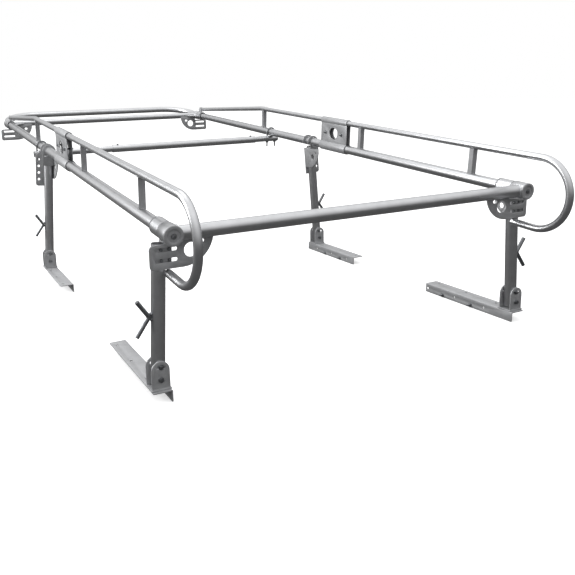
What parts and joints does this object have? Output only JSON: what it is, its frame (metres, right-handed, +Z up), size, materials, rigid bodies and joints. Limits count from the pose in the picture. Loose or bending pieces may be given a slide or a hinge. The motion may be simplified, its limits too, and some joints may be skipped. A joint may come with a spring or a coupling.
{
  "type": "ladder rack",
  "caption": "Pickup ladder rack with side rails, crossbars, an over-cab bow, adjustable legs and tilting feet that stand on the bed rails.",
  "frame": {"origin": "centre of the bounding box at the level of the lower edges of the feet", "axes": "+X to the truck's passenger side, +Y towards the cab, +Z up"},
  "size_m": [1.7996, 4.003, 0.9109],
  "materials": {
    "satin_aluminium": "satin silver-grey tube",
    "coated_steel_plate": "satin grey coated steel plate, a little darker than the tubes",
    "zinc_plated_steel": "zinc-plated round bar and bolts",
    "moulded_cap": "grey moulded plug"
  },
  "bodies": {
    "rack": {"rear_crossbar": "satin_aluminium", "front_crossbar": "satin_aluminium", "front_bow": "satin_aluminium", "corner_sleeve_rear_left": "satin_aluminium", "corner_sleeve_front_left": "satin_aluminium", "rear_end_cap_left": "moulded_cap", "corner_bracket_rear_left": "coated_steel_plate", "corner_bracket_front_left": "coated_steel_plate", "side_rail_rear_left": "satin_aluminium", "side_rail_front_left": "satin_aluminium", "upper_rail_rear_left": "satin_aluminium", "upper_rail_front_left": "satin_aluminium", "strut_1_left": "coated_steel_plate", "strut_2_left": "coated_steel_plate", "strut_3_left": "coated_steel_plate", "joiner_inner_left": "coated_steel_plate", "joiner_outer_left": "coated_steel_plate", "corner_sleeve_rear_right": "satin_aluminium", "corner_sleeve_front_right": "satin_aluminium", "rear_end_cap_right": "moulded_cap", "corner_bracket_rear_right": "coated_steel_plate", "corner_bracket_front_right": "coated_steel_plate", "side_rail_rear_right": "satin_aluminium", "side_rail_front_right": "satin_aluminium", "upper_rail_rear_right": "satin_aluminium", "upper_rail_front_right": "satin_aluminium", "strut_1_right": "coated_steel_plate", "strut_2_right": "coated_steel_plate", "strut_3_right": "coated_steel_plate", "joiner_inner_right": "coated_steel_plate", "joiner_outer_right": "coated_steel_plate"},
    "mid_bar": {"mid_crossbar": "satin_aluminium", "mid_crossbar_end_left": "satin_aluminium", "mid_crossbar_end_right": "satin_aluminium", "mid_u_bolt_left": "zinc_plated_steel", "mid_u_bolt_right": "zinc_plated_steel"},
    "rear_leg_left": {"rear_left_leg": "satin_aluminium", "rear_left_leg_head": "coated_steel_plate", "rear_left_tie_hook": "zinc_plated_steel"},
    "front_leg_left": {"front_left_leg": "satin_aluminium", "front_left_leg_bracket": "coated_steel_plate", "front_left_tie_hook": "zinc_plated_steel"},
    "rear_foot_left": {"rear_left_clevis": "coated_steel_plate", "rear_left_bed_angle": "coated_steel_plate", "rear_left_pivot_bolt": "zinc_plated_steel"},
    "front_foot_left": {"front_left_clevis": "coated_steel_plate", "front_left_bed_angle": "coated_steel_plate", "front_left_pivot_bolt": "zinc_plated_steel"},
    "rear_leg_right": {"rear_right_leg": "satin_aluminium", "rear_right_leg_head": "coated_steel_plate", "rear_right_tie_hook": "zinc_plated_steel"},
    "front_leg_right": {"front_right_leg": "satin_aluminium", "front_right_leg_bracket": "coated_steel_plate", "front_right_tie_hook": "zinc_plated_steel"},
    "rear_foot_right": {"rear_right_clevis": "coated_steel_plate", "rear_right_bed_angle": "coated_steel_plate", "rear_right_pivot_bolt": "zinc_plated_steel"},
    "front_foot_right": {"front_right_clevis": "coated_steel_plate", "front_right_bed_angle": "coated_steel_plate", "front_right_pivot_bolt": "zinc_plated_steel"}
  },
  "joints": [
    {"name": "mid_bar_slide", "type": "slide", "parent": "rack", "child": "mid_bar", "axis": [0, 0.9976, 0.0698], "range_m": [-0.05, 0.06]},
    {"name": "rear_leg_slide_left", "type": "slide", "parent": "rack", "child": "rear_leg_left", "axis": [-1, 0, 0], "range_m": [-0.016, 0.016]},
    {"name": "front_leg_slide_left", "type": "slide", "parent": "rack", "child": "front_leg_left", "axis": [0, 0.9976, 0.0698], "range_m": [-0.12, 0.04]},
    {"name": "rear_foot_tilt_left", "type": "hinge", "parent": "rear_leg_left", "child": "rear_foot_left", "pos_m": [-0.827, -1.69521, 0.0833], "axis": [0, 1, 0], "range_deg": [-8, 8]},
    {"name": "front_foot_tilt_left", "type": "hinge", "parent": "front_leg_left", "child": "front_foot_left", "pos_m": [-0.827, 0.19652, 0.0833], "axis": [0, 1, 0], "range_deg": [-8, 8]},
    {"name": "rear_leg_slide_right", "type": "slide", "parent": "rack", "child": "rear_leg_right", "axis": [1, 0, 0], "range_m": [-0.016, 0.016]},
    {"name": "front_leg_slide_right", "type": "slide", "parent": "rack", "child": "front_leg_right", "axis": [0, 0.9976, 0.0698], "range_m": [-0.1, 0.1]},
    {"name": "rear_foot_tilt_right", "type": "hinge", "parent": "rear_leg_right", "child": "rear_foot_right", "pos_m": [0.827, -1.69521, 0.0833], "axis": [0, 1, 0], "range_deg": [-8, 8]},
    {"name": "front_foot_tilt_right", "type": "hinge", "parent": "front_leg_right", "child": "front_foot_right", "pos_m": [0.827, -0.1227, 0.0833], "axis": [0, 1, 0], "range_deg": [-8, 8]}
  ]
}
